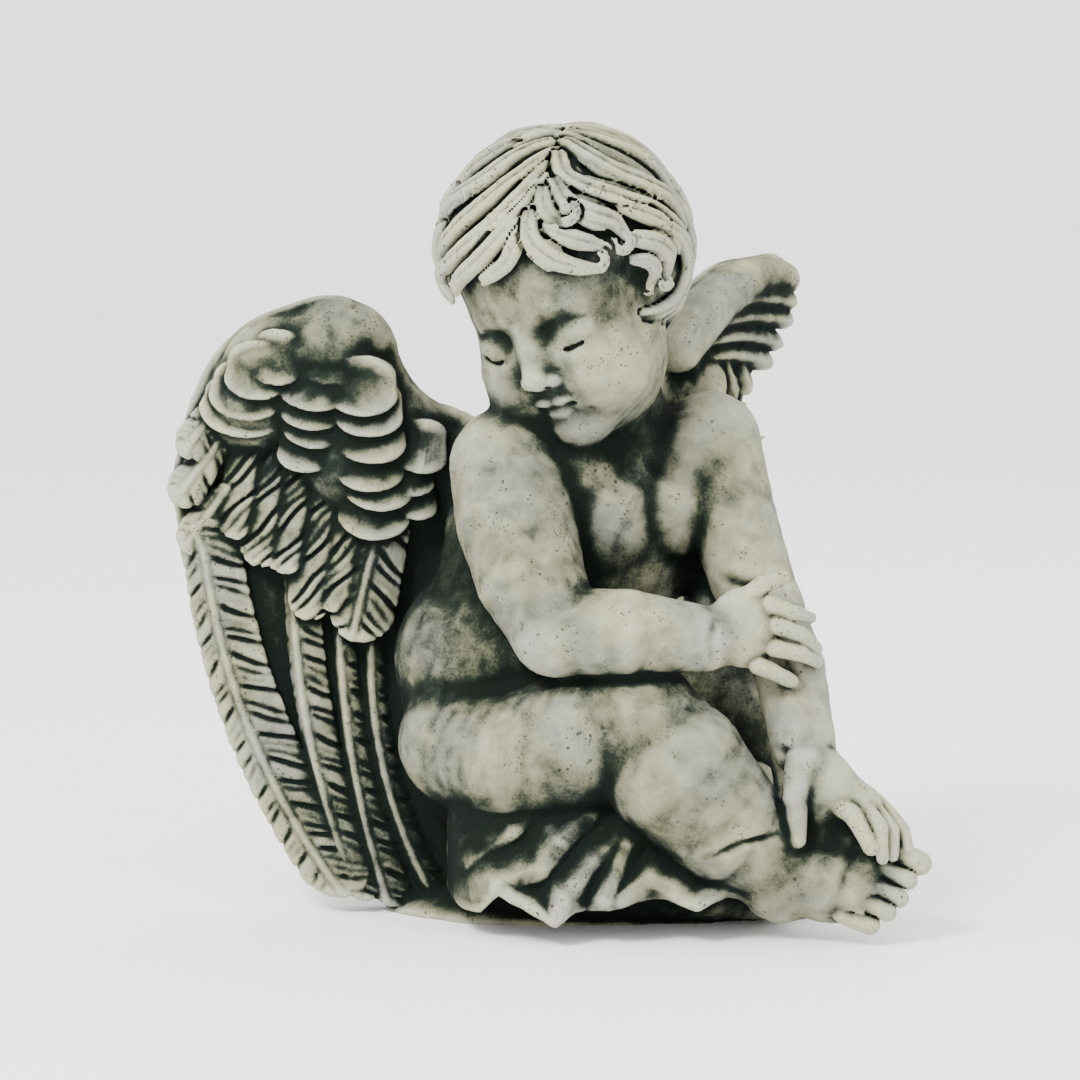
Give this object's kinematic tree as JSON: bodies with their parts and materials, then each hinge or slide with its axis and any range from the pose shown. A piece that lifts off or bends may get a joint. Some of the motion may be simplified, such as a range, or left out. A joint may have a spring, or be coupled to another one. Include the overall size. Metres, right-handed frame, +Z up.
{
  "type": "stone putto statue",
  "caption": "Free-standing cast-stone putto, seated on a fold of cloth with bowed head, leaning on its raised knee and clasping its other arm, with carved feather wings.",
  "frame": {"origin": "on the ground under the middle of the bounding box", "axes": "+Z up, -Y the way the carved front faces, +X to the right of a viewer who stands in front"},
  "size_m": [0.3448, 0.2124, 0.3602],
  "materials": {
    "cast_stone": "weathered pale grey cast stone with a dark green wash in the hollows"
  },
  "bodies": {
    "root": {"putto_statue": "cast_stone"}
  },
  "joints": []
}
